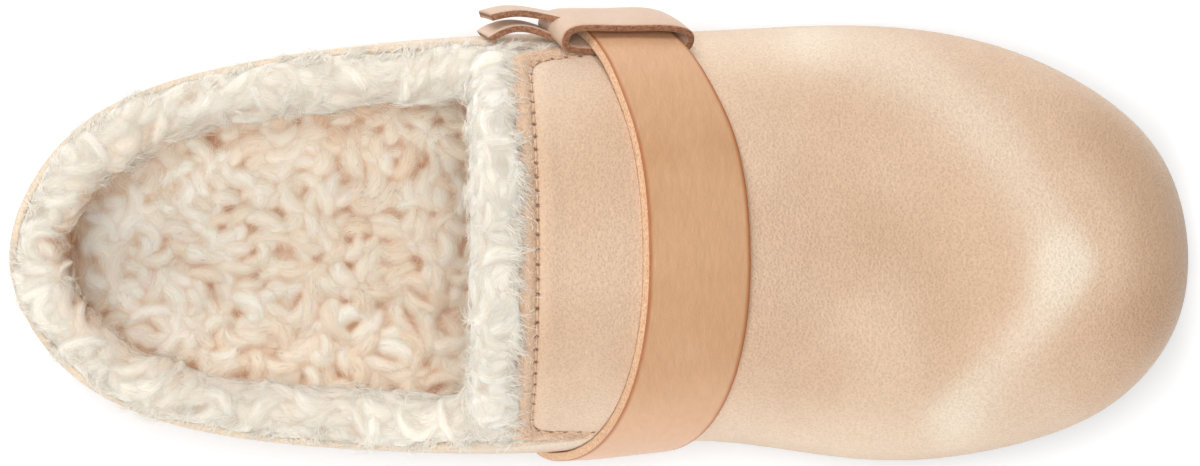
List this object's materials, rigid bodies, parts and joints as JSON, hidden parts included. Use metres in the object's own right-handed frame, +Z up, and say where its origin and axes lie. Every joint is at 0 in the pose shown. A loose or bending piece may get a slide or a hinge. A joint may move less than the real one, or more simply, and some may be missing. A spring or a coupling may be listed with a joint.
{
  "type": "mule slipper",
  "caption": "Left mule slipper with a suede upper, curly fleece lining, low back, rubber sole and a leather instep strap tied with a leather loop.",
  "frame": {"origin": "centre of the slipper's bounding box, on the floor under the sole", "axes": "+X towards the toe, +Y towards the outer side of the left foot, +Z up"},
  "size_m": [0.268, 0.1038, 0.0884],
  "materials": {
    "sole_rubber": "matt dark brown moulded rubber",
    "footbed": "cream curly fleece over foam",
    "suede": "light tan suede with a short nap",
    "fleece": "cream curly fleece",
    "strap_leather": "smooth tan leather with burnished edges",
    "loop_leather": "pale tan leather with raw brown edges"
  },
  "bodies": {
    "root": {"outsole": "sole_rubber", "insole": "footbed", "upper": "suede", "fleece_back": "fleece", "fleece_throat": "fleece", "strap": "strap_leather", "strap_loop": "loop_leather"}
  },
  "joints": []
}
